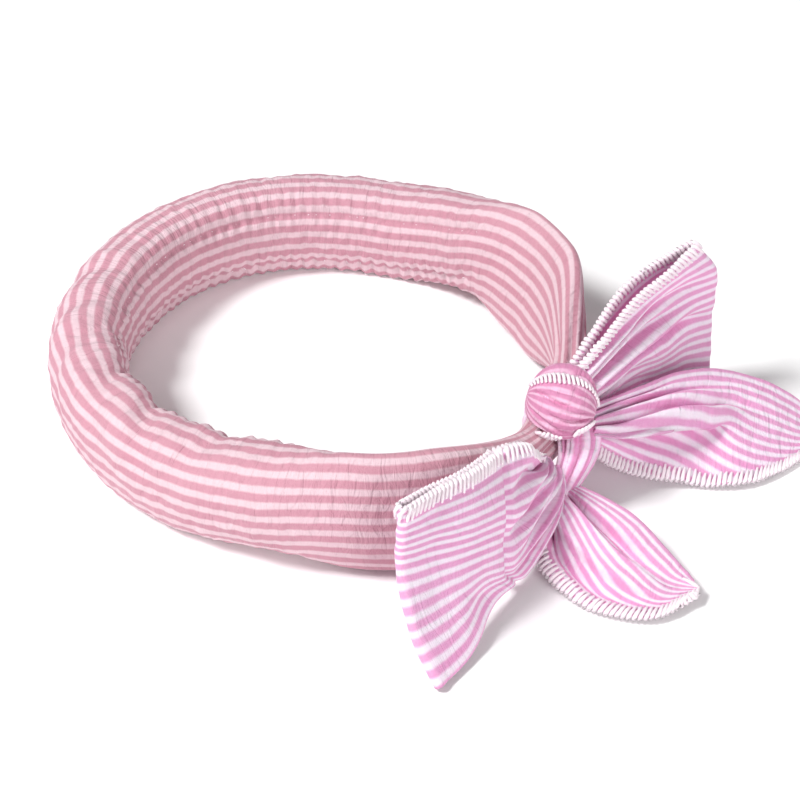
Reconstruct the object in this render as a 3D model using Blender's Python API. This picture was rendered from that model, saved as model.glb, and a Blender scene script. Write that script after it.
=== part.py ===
"""Spa headband: padded, shirred fabric ring with two flat ends tied in a bow."""
import math

import bpy
import numpy as np

for old in list(bpy.data.objects):
    bpy.data.objects.remove(old, do_unlink=True)

MM = 0.001

# Ring seen from above, millimetres. The knot is at the front, on -Y.
LEFT_HALF = 78.0
RIGHT_HALF = 74.0
BACK_HALF = 83.0
FRONT_HALF = 82.0
BACK_ROUND = 2.1
LEFT_ROUND = 2.9
RIGHT_ROUND = 1.75

# Padded section of the band.
PAD_HEIGHT = 34.8
PAD_DEPTH = 24.5
COVER = 1.0
GAP = 0.3
PRESSED = 0.9
REST_Z = PAD_HEIGHT / 2 - PRESSED

# Unpadded ends of the band: height, depth and lean of the section, top outwards.
LEFT_END = (42.0, 15.0, -8.0)
RIGHT_END = (46.0, 11.0, 18.0)
END_LIFT = 1.0
THROAT_Z = 21.0
THROAT_HEIGHT = 16.0
THROAT_DEPTH = 12.0
LEFT_PAD_FROM = 112.0
RIGHT_PAD_FROM = 94.0
TAPER = 22.0

# Elastic and shirring inside the inner face.
ELASTIC_HEIGHT = 20.0
ELASTIC_DEPTH = 1.2
ELASTIC_CLEAR = 1.5
SHIRR_HEIGHT = 21.0
SHIRR_SIZE = 0.9

# Bow strip.
STRIP = 1.2
EDGE_WIDTH = 4.0
EDGE_DEPTH = 2.0
EDGE_GAP = 1.2
LOOP_GAP = 5.6
FOLD_GAP = 3.4

# Knot.
STRAP_WALL = 2.0
STRAP_LOOSE = 1.4
STRAP_LEFT = -17.5
STRAP_RIGHT = 3.0
STRAP_Y = 0.4 - FRONT_HALF
STRAP_FRONT = STRAP_Y - THROAT_DEPTH / 2 - STRAP_LOOSE - STRAP_WALL
KNOT_RADII = (12.0, 10.0, 11.0)
KNOT = (-14.0, STRAP_FRONT + 12.0 - KNOT_RADII[1],
        THROAT_Z + THROAT_HEIGHT / 2 + KNOT_RADII[2] - 5.0)

# Where the moving pieces turn, at their roots beside the knot.
TIED_FRONT = (-8.0, -FRONT_HALF, THROAT_Z)


def beside_knot(x, y, z):
    """A point counted from the middle of the knot."""
    return (KNOT[0] + x, KNOT[1] + y, KNOT[2] + z)


LOWER_LOOP_PIVOT = beside_knot(-KNOT_RADII[0] - 1.5, -3.0, -4.0)
UPPER_LOOP_PIVOT = beside_knot(KNOT_RADII[0] + 2.0, -5.5, 1.0)
RIGHT_TAIL_PIVOT = beside_knot(6.5, -KNOT_RADII[1] - 2.0, -5.0)
LOWER_TAIL_PIVOT = beside_knot(-6.0, -4.5, -KNOT_RADII[2] - 12.0)

ROUND = 20
bodies = []


def lerp(a, b, f):
    return a + (b - a) * f


def ease(x, a, b):
    f = min(1.0, max(0.0, (x - a) / (b - a)))
    return f * f * (3.0 - 2.0 * f)


def plan_point(turn):
    """Point of the ring's centre line; turn runs 0 to 1 from the knot over -X."""
    angle = -math.pi / 2 - 2 * math.pi * turn
    c = math.cos(angle)
    s = math.sin(angle)
    half = LEFT_HALF if c < 0 else RIGHT_HALF
    depth = FRONT_HALF if s < 0 else BACK_HALF
    power = BACK_ROUND
    if s < 0:
        power = LEFT_ROUND if c < 0 else RIGHT_ROUND
    r = (abs(c / half) ** power + abs(s / depth) ** power) ** (-1 / power)
    return np.array([r * c, r * s])


FINE = 1440
line = np.array([plan_point(i / FINE) for i in range(FINE + 1)])
steps = np.linalg.norm(np.diff(line, axis=0), axis=1)
along = np.concatenate([[0.0], np.cumsum(steps)])
RING = float(along[-1])
LEFT_PAD = LEFT_PAD_FROM
RIGHT_PAD = RING - RIGHT_PAD_FROM


def ring_frame(s):
    """Centre, outward normal and height of the band s millimetres from the knot."""
    x = float(np.interp(s, along, line[:, 0]))
    y = float(np.interp(s, along, line[:, 1]))
    reach = 4.0
    a = np.array([np.interp(s - reach, along, line[:, k]) for k in (0, 1)])
    b = np.array([np.interp(s + reach, along, line[:, k]) for k in (0, 1)])
    tangent = (b - a) / np.linalg.norm(b - a)
    normal = np.array([-tangent[1], tangent[0]])
    away = min(s, RING - s)
    full = ease(away, 14.0, 50.0)
    height, depth, lean = LEFT_END if s < RING / 2 else RIGHT_END
    z = lerp(THROAT_Z, height / 2 + END_LIFT, full)
    start = LEFT_PAD if s < RING / 2 else RING - RIGHT_PAD
    z = lerp(z, REST_Z, ease(away, start - 10.0, start + 40.0))
    return np.array([x, y, z]), np.array([normal[0], normal[1], 0.0])


def band_size(s):
    """Full height, full depth, squareness and lean of the band section."""
    away = min(s, RING - s)
    start = LEFT_PAD if s < RING / 2 else RING - RIGHT_PAD
    full = ease(away, 14.0, 52.0)
    pad = ease(away, start - TAPER, start + 8.0)
    end_height, end_depth, end_lean = LEFT_END if s < RING / 2 else RIGHT_END
    height = lerp(THROAT_HEIGHT, end_height, full)
    depth = lerp(THROAT_DEPTH, end_depth, full)
    lean = lerp(0.0, end_lean, full)
    height = lerp(height, PAD_HEIGHT, pad)
    depth = lerp(depth, PAD_DEPTH, pad)
    return height, depth, pad, math.radians(lerp(lean, 0.0, pad))


def section(s, inset, points, low=None):
    """Closed loop of the band section, shrunk by inset on every side."""
    centre, normal = ring_frame(s)
    height, depth, pad, lean = band_size(s)
    half_h = height / 2 - inset
    half_d = depth / 2 - inset
    loop = []
    for i in range(points):
        angle = 2 * math.pi * i / points
        c = math.cos(angle)
        q = math.sin(angle)
        square = 0.85 if c > 0 else 0.6
        square = lerp(1.0, square, pad)
        n = half_d * math.copysign(abs(c) ** square, c)
        z = half_h * math.copysign(abs(q) ** 0.85, q)
        p = centre + normal * (n * math.cos(lean) + z * math.sin(lean))
        p[2] += z * math.cos(lean) - n * math.sin(lean)
        if low is not None:
            p[2] = max(p[2], low)
        loop.append(p)
    return loop


def add_body(name, verts, faces, colour, roughness=0.9, smooth=True):
    mesh = bpy.data.meshes.new(name)
    mesh.from_pydata([tuple(float(c) * MM for c in v) for v in verts], [], faces)
    mesh.validate()
    mesh.update()
    obj = bpy.data.objects.new(name, mesh)
    bpy.context.scene.collection.objects.link(obj)
    mat = bpy.data.materials.new(name + "_material")
    mat.use_nodes = True
    shader = mat.node_tree.nodes["Principled BSDF"]
    shader.inputs["Base Color"].default_value = (*colour, 1.0)
    shader.inputs["Roughness"].default_value = roughness
    mesh.materials.append(mat)
    for poly in mesh.polygons:
        poly.use_smooth = smooth
    bodies.append(obj)
    return obj


def turned_out(verts, faces):
    """Flip all faces when the closed body encloses negative volume."""
    v = np.array(verts)
    total = 0.0
    for f in faces:
        for k in range(1, len(f) - 1):
            total += np.dot(v[f[0]], np.cross(v[f[k]], v[f[k + 1]]))
    if total < 0:
        return [tuple(reversed(f)) for f in faces]
    return faces


def sweep(loops):
    """Solid through a list of closed loops, capped at both ends."""
    n = len(loops[0])
    verts = [p for loop in loops for p in loop]
    faces = []
    for i in range(len(loops) - 1):
        for j in range(n):
            a = i * n + j
            b = i * n + (j + 1) % n
            faces.append((a, b, b + n, a + n))
    faces.append(tuple(range(n)))
    last = (len(loops) - 1) * n
    faces.append(tuple(last + j for j in range(n)))
    faces[-2] = tuple(reversed(faces[-2]))
    return verts, turned_out(verts, faces)


def pipe(outer, inner):
    """Open-ended shell between two matching lists of loops."""
    n = len(outer[0])
    m = len(outer)
    verts = [p for loop in outer for p in loop]
    verts += [p for loop in inner for p in loop]
    base = m * n
    faces = []
    for i in range(m - 1):
        for j in range(n):
            a = i * n + j
            b = i * n + (j + 1) % n
            faces.append((a, b, b + n, a + n))
            c = base + a
            d = base + b
            faces.append((c, c + n, d + n, d))
    for row in (0, m - 1):
        for j in range(n):
            a = row * n + j
            b = row * n + (j + 1) % n
            quad = (a, base + a, base + b, b)
            faces.append(quad if row == 0 else tuple(reversed(quad)))
    return verts, turned_out(verts, faces)


def thick_sheet(grid, thick):
    """Closed body of even thickness around a grid of middle points."""
    g = np.array(grid)
    rows, cols = g.shape[:2]
    du = np.gradient(g, axis=0)
    dv = np.gradient(g, axis=1)
    normal = np.cross(du, dv)
    normal /= np.linalg.norm(normal, axis=2)[:, :, None]
    top = g + normal * thick / 2
    low = g - normal * thick / 2
    verts = [p for row in top for p in row] + [p for row in low for p in row]
    base = rows * cols
    faces = []
    for i in range(rows - 1):
        for j in range(cols - 1):
            a = i * cols + j
            faces.append((a, a + cols, a + cols + 1, a + 1))
            b = base + a
            faces.append((b, b + 1, b + cols + 1, b + cols))
    rim = [j for j in range(cols)]
    rim += [i * cols + cols - 1 for i in range(1, rows)]
    rim += [(rows - 1) * cols + j for j in range(cols - 2, -1, -1)]
    rim += [i * cols for i in range(rows - 2, 0, -1)]
    for k, a in enumerate(rim):
        b = rim[(k + 1) % len(rim)]
        faces.append((a, b, base + b, base + a))
    return verts, turned_out(verts, faces)


def curve_through(points, count):
    """Smooth curve through the given points, evenly stepped by length."""
    p = np.array(points, dtype=float)
    p = np.vstack([2 * p[0] - p[1], p, 2 * p[-1] - p[-2]])
    out = []
    for i in range(1, len(p) - 2):
        for k in range(24):
            f = k / 24
            a, b, c, d = p[i - 1], p[i], p[i + 1], p[i + 2]
            out.append(0.5 * (2 * b + (c - a) * f + (2 * a - 5 * b + 4 * c - d) * f * f
                              + (3 * b - a - 3 * c + d) * f ** 3))
    out.append(p[-2])
    out = np.array(out)
    run = np.concatenate([[0], np.cumsum(np.linalg.norm(np.diff(out, axis=0), axis=1))])
    want = np.linspace(0, run[-1], count)
    return np.stack([np.interp(want, run, out[:, k]) for k in range(3)], axis=1)


# ---------------------------------------------------------------- band
pad_rows = np.linspace(LEFT_PAD - TAPER, RIGHT_PAD + TAPER, 33)
foam_rows = np.linspace(LEFT_PAD - 2, RIGHT_PAD + 2, 33)

outer = [section(s, 0.0, ROUND, 0.0) for s in pad_rows]
inner = [section(s, COVER, ROUND, COVER) for s in pad_rows]
verts, faces = pipe(outer, inner)
add_body("cover_padded", verts, faces, (0.90, 0.50, 0.62))


def foam_section(s):
    """Foam fills the cover; its inner face steps back for the elastic strip."""
    centre, normal = ring_frame(s)
    keep_out = COVER + GAP + 0.5
    loop = section(s, keep_out, ROUND, keep_out)
    depth = band_size(s)[1]
    limit = -(depth / 2 - COVER - GAP - ELASTIC_CLEAR - ELASTIC_DEPTH - 0.8)
    result = []
    for p in loop:
        n = float(np.dot(p - centre, normal))
        result.append(p + normal * (max(n, limit) - n))
    return result


verts, faces = sweep([foam_section(s) for s in foam_rows])
add_body("foam_core", verts, faces, (0.93, 0.90, 0.80))


def strip_section(s, offset, low, high, thick):
    centre, normal = ring_frame(s)
    loop = []
    for n, z in ((0, low), (thick, low), (thick, high), (0, high)):
        p = centre + normal * (offset + n)
        p[2] += z
        loop.append(p)
    return loop


elastic = []
for s in np.linspace(LEFT_PAD + 8, RIGHT_PAD - 8, 27):
    depth = band_size(s)[1]
    offset = -(depth / 2 - COVER - GAP - ELASTIC_CLEAR)
    half = ELASTIC_HEIGHT / 2 - 3.0
    elastic.append(strip_section(s, offset, -half, half, ELASTIC_DEPTH))
verts, faces = sweep(elastic)
add_body("elastic_strip", verts, faces, (0.95, 0.94, 0.92), smooth=False)


def inner_face(s, z):
    """Distance from the centre line to the cover's inner face at height z."""
    height, depth, pad, lean = band_size(s)
    q = min(1.0, abs(z) / (height / 2))
    c = math.sqrt(max(0.0, 1 - q ** (2 / 0.85)))
    return depth / 2 * c ** lerp(1.0, 0.6, pad)


for name, side in (("shirring_thread_upper", 1), ("shirring_thread_lower", -1)):
    rows = []
    z = side * SHIRR_HEIGHT / 2
    for s in np.linspace(LEFT_PAD + 6, RIGHT_PAD - 6, 61):
        offset = -(inner_face(s, z) + GAP + 0.4 + SHIRR_SIZE)
        rows.append(strip_section(s, offset, z - SHIRR_SIZE / 2, z + SHIRR_SIZE / 2,
                                  SHIRR_SIZE))
    verts, faces = sweep(rows)
    add_body(name, verts, faces, (0.97, 0.93, 0.95), smooth=False)

KNOT_S = 10.0
END_GAP = 0.9
left_rows = np.linspace(KNOT_S + END_GAP, LEFT_PAD - TAPER - GAP, 13)
right_rows = np.linspace(RIGHT_PAD + TAPER + GAP, RING + KNOT_S - END_GAP, 13)


def end_section(s):
    """Flat end section; beyond the last point it follows the throat straight."""
    if s <= RING:
        return section(s, 0.0, 16, 0.3)
    return [p + np.array([-(s - RING), 0.0, 0.0]) for p in section(RING, 0.0, 16, 0.3)]


verts, faces = sweep([end_section(s) for s in left_rows])
add_body("cover_end_left", verts, faces, (0.93, 0.58, 0.70))
verts, faces = sweep([end_section(s) for s in right_rows])
add_body("cover_end_right", verts, faces, (0.93, 0.58, 0.70))


# ---------------------------------------------------------------- knot
def strap_ring(x, grow, swell):
    loop = []
    for i in range(24):
        angle = 2 * math.pi * i / 24
        y = (THROAT_DEPTH / 2 + grow + swell) * math.cos(angle)
        z = (THROAT_HEIGHT / 2 + grow + swell) * math.sin(angle)
        loop.append(np.array([x, STRAP_Y + y, THROAT_Z + z]))
    return loop


xs = np.linspace(STRAP_LEFT, STRAP_RIGHT, 7)
swells = [0.9 * math.sin(math.pi * k / 6) for k in range(7)]
outer = [strap_ring(x, STRAP_LOOSE + STRAP_WALL, w) for x, w in zip(xs, swells)]
inner = [strap_ring(x, STRAP_LOOSE, 0.0) for x in xs]
verts, faces = pipe(outer, inner)
add_body("knot_strap", verts, faces, (0.93, 0.50, 0.70))


def clear_of_strap(p, gap):
    """Push a point outwards until it clears the strap."""
    a = THROAT_DEPTH / 2 + STRAP_LOOSE + STRAP_WALL + 0.9 + gap
    b = THROAT_HEIGHT / 2 + STRAP_LOOSE + STRAP_WALL + 0.9 + gap
    y = p[1] - STRAP_Y
    z = p[2] - THROAT_Z
    r = math.sqrt((y / a) ** 2 + (z / b) ** 2)
    if r >= 1.0 or r < 0.05:
        return p
    return np.array([p[0], STRAP_Y + y / r, THROAT_Z + z / r])


rings, spokes = 12, 20
verts = []
for i in range(1, rings):
    theta = math.pi * i / rings
    for j in range(spokes):
        phi = 2 * math.pi * j / spokes
        unit = np.array([math.cos(theta), math.sin(theta) * math.cos(phi),
                         math.sin(theta) * math.sin(phi)])
        p = np.array(KNOT) + unit * np.array(KNOT_RADII)
        verts.append(clear_of_strap(p, 0.5))
left_pole = np.array(KNOT) + np.array([KNOT_RADII[0], 0, 0])
right_pole = np.array(KNOT) - np.array([KNOT_RADII[0], 0, 0])
verts += [left_pole, right_pole]
faces = []
for i in range(rings - 2):
    for j in range(spokes):
        a = i * spokes + j
        b = i * spokes + (j + 1) % spokes
        faces.append((a, b, b + spokes, a + spokes))
count = (rings - 1) * spokes
for j in range(spokes):
    faces.append((count, (j + 1) % spokes, j))
    a = (rings - 2) * spokes
    faces.append((count + 1, a + j, a + (j + 1) % spokes))
add_body("knot_wrap", verts, turned_out(verts, faces), (0.93, 0.50, 0.70))

# Stitched edge lying over the knot, from its top round to its left side.
rows = []
for k in range(15):
    turn = math.radians(lerp(20, 150, k / 14))
    side = np.array([math.cos(turn), 0.0, math.sin(turn)])
    lean = np.array([0.0, -0.62, 0.0])
    unit = side * 0.785 + lean
    centre = np.array(KNOT) + unit * (np.array(KNOT_RADII) + 1.35)
    out = unit / np.linalg.norm(unit)
    run = np.array([-math.sin(turn), 0.0, math.cos(turn)])
    wide = np.cross(out, run)
    wide /= np.linalg.norm(wide)
    rows.append([centre + wide * a + out * b for a, b in
                 ((-1.6, -0.8), (1.6, -0.8), (1.6, 0.8), (-1.6, 0.8))])
verts, faces = sweep(rows)
add_body("knot_edging", verts, faces, (0.98, 0.93, 0.96), smooth=False)


# ---------------------------------------------------------------- bow lobes
def lobe_grid(data, rows, across):
    """Front surface of a lobe between its folded edge and its stitched edge."""
    a = curve_through(data["fold"], rows) + np.array(data["root"])
    b = curve_through(data["cut"], rows) + np.array(data["root"])
    bow = data["bow"]
    grid = np.zeros((rows, len(across), 3))
    for i in range(rows):
        run = (a[min(i + 1, rows - 1)] - a[max(i - 1, 0)]
               + b[min(i + 1, rows - 1)] - b[max(i - 1, 0)])
        wide = b[i] - a[i]
        out = np.cross(run, wide)
        out /= np.linalg.norm(out)
        lift = bow * math.sin(math.pi * min(1.0, i / (rows - 1)))
        for j, f in enumerate(across):
            grid[i, j] = a[i] + wide * f + out * lift * math.sin(math.pi * min(f, 1.0))
    return grid


def loop_grid(front, toward, rows_turn):
    """Carry a front surface round the fold and back towards the knot."""
    rows, cols = front.shape[:2]
    du = np.gradient(front, axis=0)
    dv = np.gradient(front, axis=1)
    out = np.cross(du, dv)
    out /= np.linalg.norm(out, axis=2)[:, :, None]
    if np.dot(out[rows // 2, cols // 2], toward) < 0:
        out = -out
    run = du / np.linalg.norm(du, axis=2)[:, :, None]
    result = [front[i] for i in range(rows)]
    r = FOLD_GAP / 2
    for k in range(1, rows_turn):
        angle = math.pi * k / rows_turn
        result.append(front[-1] - out[-1] * r * (1 - math.cos(angle))
                      + run[-1] * r * math.sin(angle))
    for i in range(rows - 1, -1, -1):
        f = i / (rows - 1)
        gap = lerp(FOLD_GAP, LOOP_GAP, math.sin(math.pi * f) ** 0.8 if 0 < f < 1 else 0)
        result.append(front[i] - out[i] * gap)
    return np.array(result)


def across_parts(width, count):
    """Fractions across a lobe for the cloth and for its stitched edge."""
    cut = 1.0 - EDGE_WIDTH / width
    cloth = np.linspace(0.0, cut - EDGE_GAP / width, count)
    edge = np.linspace(cut, 1.0, 3)
    return cloth, edge


def heading_past_band(pivot):
    """Heading from a pivot of the line that just touches the band's left corner."""
    best = 0.0
    for s in np.linspace(KNOT_S + 10.0, LEFT_PAD, 60):
        centre, normal = ring_frame(s)
        p = centre + normal * band_size(s)[1] / 2
        best = max(best, math.degrees(math.atan2(p[1] - pivot[1], p[0] - pivot[0])))
    return best


def swung(points, degrees):
    """Points turned about the upright axis through their root."""
    c = math.cos(math.radians(degrees))
    s = math.sin(math.radians(degrees))
    return [(x * c - y * s, x * s + y * c, z) for x, y, z in points]


# The lower loop lies forward of the band's left corner by a fixed angle.
LOOP_HEADING = 155.5
LOOP_SWING = heading_past_band(LOWER_LOOP_PIVOT) - LOOP_HEADING

# Edge points are counted from each piece's own root beside the knot.
LOOPS = {
    "lower_loop": dict(
        root=LOWER_LOOP_PIVOT,
        fold=swung([(0, -1, -6), (-18.5, -6, -19), (-52.5, -2, -26.5),
                    (-82.1, 4.2, -28.8)], LOOP_SWING),
        cut=swung([(-0.5, 1, 6), (-15, 4.5, 12), (-42.3, 12.5, 19),
                   (-64.3, 23, 21)], LOOP_SWING),
        toward=(-0.2, -0.9, 0.4), bow=3.0),
    "upper_loop": dict(
        root=UPPER_LOOP_PIVOT,
        fold=[(0.5, -1.5, -7), (14, -6, -17), (36, -14.5, -25), (52.3, -20.8, -28)],
        cut=[(-0.2, 2, 6), (12, 1, 12), (31, -5, 21), (47.8, -12.6, 26)],
        toward=(-0.5, -0.8, 0.2), bow=2.5),
}
for name, data in LOOPS.items():
    cloth_f, edge_f = across_parts(55.0, 8)
    front = lobe_grid(data, 11, cloth_f)
    grid = loop_grid(front, np.array(data["toward"]), 4)
    verts, faces = thick_sheet(grid, STRIP)
    add_body(name, verts, faces, (0.94, 0.60, 0.78))
    full = np.concatenate([cloth_f, edge_f])
    front = lobe_grid(data, 11, full)
    grid = loop_grid(front, np.array(data["toward"]), 4)[1:-1, -3:]
    verts, faces = thick_sheet(grid, EDGE_DEPTH)
    add_body(name + "_edging", verts, faces, (0.98, 0.93, 0.96))

TAILS = {
    "right_tail": dict(
        root=RIGHT_TAIL_PIVOT,
        fold=[(3.5, 0, 3), (27.5, -5.5, -5), (50.5, -19, -15), (63.5, -45, -24.5)],
        cut=[(-3.5, -0.5, -3), (5.5, -16, -24), (14, -33.5, -27.4), (29.5, -50, -27.8),
             (49.5, -57, -27.8)],
        bow=2.0),
    "lower_tail": dict(
        root=LOWER_TAIL_PIVOT,
        fold=[(5, -0.5, 2), (-6, -18.5, 1), (-10, -33.5, -4), (-21, -49.5, -9)],
        cut=[(-5, 0.7, -3), (-32, -3.5, -8.8), (-40.5, -17.5, -10), (-40, -32.5, -10),
             (-29, -46.5, -10)],
        bow=4.0),
}
for name, data in TAILS.items():
    cloth_f, edge_f = across_parts(44.0, 8)
    grid = lobe_grid(data, 13, cloth_f)
    verts, faces = thick_sheet(grid, STRIP + 0.4)
    add_body(name, verts, faces, (0.94, 0.66, 0.82))
    full = np.concatenate([cloth_f, edge_f])
    grid = lobe_grid(data, 13, full)[1:, -3:]
    verts, faces = thick_sheet(grid, EDGE_DEPTH)
    add_body(name + "_edging", verts, faces, (0.98, 0.93, 0.96))

# ---------------------------------------------------------------- origin
# The origin goes to the middle of the underside of the whole outline.
low = np.min([v.co for obj in bodies for v in obj.data.vertices], axis=0)
high = np.max([v.co for obj in bodies for v in obj.data.vertices], axis=0)
shift = np.array([-(low[0] + high[0]) / 2, -(low[1] + high[1]) / 2, -low[2]])

# Moving groups: pivot point and the pieces that turn or slide about it.
GROUPS = {
    "tied_front": (TIED_FRONT, None, ("cover_end_left", "cover_end_right", "knot_strap",
                                      "knot_wrap", "knot_edging")),
    "lower_loop": (LOWER_LOOP_PIVOT, "tied_front", ("lower_loop", "lower_loop_edging")),
    "upper_loop": (UPPER_LOOP_PIVOT, "tied_front", ("upper_loop", "upper_loop_edging")),
    "right_tail": (RIGHT_TAIL_PIVOT, "tied_front", ("right_tail", "right_tail_edging")),
    "lower_tail": (LOWER_TAIL_PIVOT, "tied_front", ("lower_tail", "lower_tail_edging")),
}


def move_origin(obj, where):
    """Keep the shape in place while its vertices are counted from where."""
    for v in obj.data.vertices:
        v.co = [float(a + b - c) for a, b, c in zip(v.co, shift, where)]
    obj.data.update()


held = {name for group in GROUPS.values() for name in group[2]}
for obj in bodies:
    if obj.name not in held:
        move_origin(obj, (0.0, 0.0, 0.0))
pivots = {}
for group, (point, parent, names) in GROUPS.items():
    empty = bpy.data.objects.new(group + "_pivot", None)
    bpy.context.scene.collection.objects.link(empty)
    where = np.array(point) * MM + shift
    pivots[group] = (empty, where)
    offset = where
    if parent is not None:
        empty.parent = pivots[parent][0]
        offset = where - pivots[parent][1]
    empty.location = [float(c) for c in offset]
    for name in names:
        obj = bpy.data.objects[name]
        move_origin(obj, where)
        obj.parent = empty
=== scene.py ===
import math

import bpy
import numpy as np
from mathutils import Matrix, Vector


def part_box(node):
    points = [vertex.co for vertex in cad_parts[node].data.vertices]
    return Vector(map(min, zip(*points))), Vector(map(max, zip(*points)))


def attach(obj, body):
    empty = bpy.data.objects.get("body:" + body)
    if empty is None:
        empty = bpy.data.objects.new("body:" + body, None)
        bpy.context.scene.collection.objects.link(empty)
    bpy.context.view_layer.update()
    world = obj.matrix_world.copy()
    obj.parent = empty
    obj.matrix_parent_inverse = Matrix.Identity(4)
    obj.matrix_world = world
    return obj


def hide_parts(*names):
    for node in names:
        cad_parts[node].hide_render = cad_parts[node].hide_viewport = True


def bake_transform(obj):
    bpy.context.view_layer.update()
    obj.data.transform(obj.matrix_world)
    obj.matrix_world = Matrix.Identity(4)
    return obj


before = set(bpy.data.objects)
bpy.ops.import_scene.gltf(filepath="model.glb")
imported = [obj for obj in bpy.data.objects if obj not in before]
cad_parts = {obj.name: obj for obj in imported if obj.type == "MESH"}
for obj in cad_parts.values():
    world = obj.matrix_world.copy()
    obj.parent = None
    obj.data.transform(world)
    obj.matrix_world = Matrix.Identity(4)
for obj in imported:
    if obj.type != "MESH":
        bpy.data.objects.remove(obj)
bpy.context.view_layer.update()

for obj in list(bpy.context.selected_objects):
    obj.select_set(False)

MM = 0.001

# Ring seen from above, millimetres, counted from the ring's own middle.
LEFT_HALF = 78.0
RIGHT_HALF = 74.0
BACK_HALF = 83.0
FRONT_HALF = 82.0
BACK_ROUND = 2.1
LEFT_ROUND = 2.9
RIGHT_ROUND = 1.75
PAD_HEIGHT = 34.8
PAD_DEPTH = 24.5
REST_Z = 16.5
LEFT_END = (42.0, 15.0, -8.0)
RIGHT_END = (46.0, 11.0, 18.0)
END_LIFT = 1.0
THROAT_Z = 21.0
THROAT_HEIGHT = 16.0
THROAT_DEPTH = 12.0
LEFT_PAD_FROM = 112.0
RIGHT_PAD_FROM = 94.0
TAPER = 22.0
STRAP_LEFT = -17.5
STRAP_RIGHT = 3.0
STRAP_Y = 0.4 - FRONT_HALF
STRAP_LOOSE = 1.4
STRAP_WALL = 2.0
STRAP_FRONT = STRAP_Y - THROAT_DEPTH / 2 - STRAP_LOOSE - STRAP_WALL
KNOT = np.array([-14.0, STRAP_FRONT + 2.0, THROAT_Z + THROAT_HEIGHT / 2 + 6.0])
WRAP = KNOT + np.array([-3.0, 2.0, 1.5])

# The frame's origin, found from two nodes whose places in the ring are known.
strap_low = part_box("knot_strap")[0]
pad_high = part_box("cover_padded")[1]
SHIFT = np.array([strap_low.x / MM - STRAP_LEFT,
                  pad_high.y / MM - BACK_HALF - PAD_DEPTH / 2, 0.0])

# Fabric facts, millimetres.
CLOTH_ROUND = 100.0
BAND_STRIPE = 5.0
BOW_STRIPE = 3.55
COTTON = 0.5
PUCKER = 5.0
SHIRR_Z = 10.5
GATHER = 1.3

rng = np.random.default_rng(7)


# ------------------------------------------------------------------ small tools
def ease(x, a, b):
    f = np.clip((x - a) / (b - a), 0.0, 1.0)
    return f * f * (3.0 - 2.0 * f)


def unit(v):
    return v / np.maximum(np.linalg.norm(v, axis=-1, keepdims=True), 1e-9)


def make_mesh(name, verts, faces, scale=MM, shift=None):
    """Object from points in ring millimetres, placed in the frame."""
    moved = np.asarray(verts, dtype=float).reshape(-1, 3) + (SHIFT if shift is None else shift)
    mesh = bpy.data.meshes.new(name)
    mesh.from_pydata((moved * scale).tolist(), [], faces)
    mesh.update()
    for poly in mesh.polygons:
        poly.use_smooth = True
    obj = bpy.data.objects.new(name, mesh)
    bpy.context.scene.collection.objects.link(obj)
    return obj


def give_uv(obj, per_loop):
    """UV map that measures the cloth in millimetres, lengthwise and crosswise."""
    layer = obj.data.uv_layers.new(name="cloth")
    layer.data.foreach_set("uv", np.asarray(per_loop, dtype=np.float32).reshape(-1))


def apply_modifier(obj, kind, **values):
    mod = obj.modifiers.new(kind.lower(), kind)
    for key, value in values.items():
        setattr(mod, key, value)
    bpy.context.view_layer.objects.active = obj
    bpy.ops.object.modifier_apply(modifier=mod.name)


def tubes(paths, radii, sides=6):
    """Round-ended threads along many short paths."""
    verts = []
    faces = []
    for path, radius in zip(paths, radii):
        path = np.asarray(path)
        n = len(path)
        run = unit(np.gradient(path, axis=0))
        side = unit(np.cross(run, [0.31, 0.22, 0.92]))
        up = np.cross(run, side)
        base = len(verts)
        for i in range(n):
            for k in range(sides):
                a = 2 * math.pi * k / sides
                verts.append(path[i] + (side[i] * math.cos(a) + up[i] * math.sin(a)) * radius[i])
        for i in range(n - 1):
            for k in range(sides):
                p = base + i * sides + k
                q = base + i * sides + (k + 1) % sides
                faces.append((p, q, q + sides, p + sides))
        verts.append(path[0] - run[0] * radius[0] * 0.7)
        verts.append(path[-1] + run[-1] * radius[-1] * 0.7)
        first = len(verts) - 2
        last_ring = base + (n - 1) * sides
        for k in range(sides):
            faces.append((first, base + (k + 1) % sides, base + k))
            faces.append((first + 1, last_ring + k, last_ring + (k + 1) % sides))
    return np.array(verts), faces


def outward(obj):
    """Closed shells are turned to face out."""
    bpy.context.view_layer.objects.active = obj
    obj.select_set(True)
    bpy.ops.object.mode_set(mode="EDIT")
    bpy.ops.mesh.select_all(action="SELECT")
    bpy.ops.mesh.normals_make_consistent(inside=False)
    bpy.ops.object.mode_set(mode="OBJECT")
    obj.select_set(False)


# ------------------------------------------------------------------ materials
def linear(hexcode):
    channels = [int(hexcode[i:i + 2], 16) / 255 for i in (0, 2, 4)]
    flat = [c / 12.92 if c <= 0.04045 else ((c + 0.055) / 1.055) ** 2.4 for c in channels]
    return (*flat, 1.0)


def node(tree, kind, settings=None, inputs=None, links=None):
    """Add one node with its settings, socket values and incoming links."""
    made = tree.nodes.new(kind)
    for key, value in (settings or {}).items():
        setattr(made, key, value)
    for key, value in (inputs or {}).items():
        made.inputs[key].default_value = value
    for key, value in (links or {}).items():
        tree.links.new(value, made.inputs[key])
    return made


def new_material(name, roughness, sheen, sheen_tint):
    mat = bpy.data.materials.new(name)
    mat.use_nodes = True
    shader = mat.node_tree.nodes["Principled BSDF"]
    shader.inputs["Roughness"].default_value = roughness
    shader.inputs["IOR"].default_value = 1.45
    shader.inputs["Specular IOR Level"].default_value = 0.25
    shader.inputs["Sheen Weight"].default_value = sheen
    shader.inputs["Sheen Roughness"].default_value = 0.45
    shader.inputs["Sheen Tint"].default_value = linear(sheen_tint)
    return mat, mat.node_tree, shader


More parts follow.
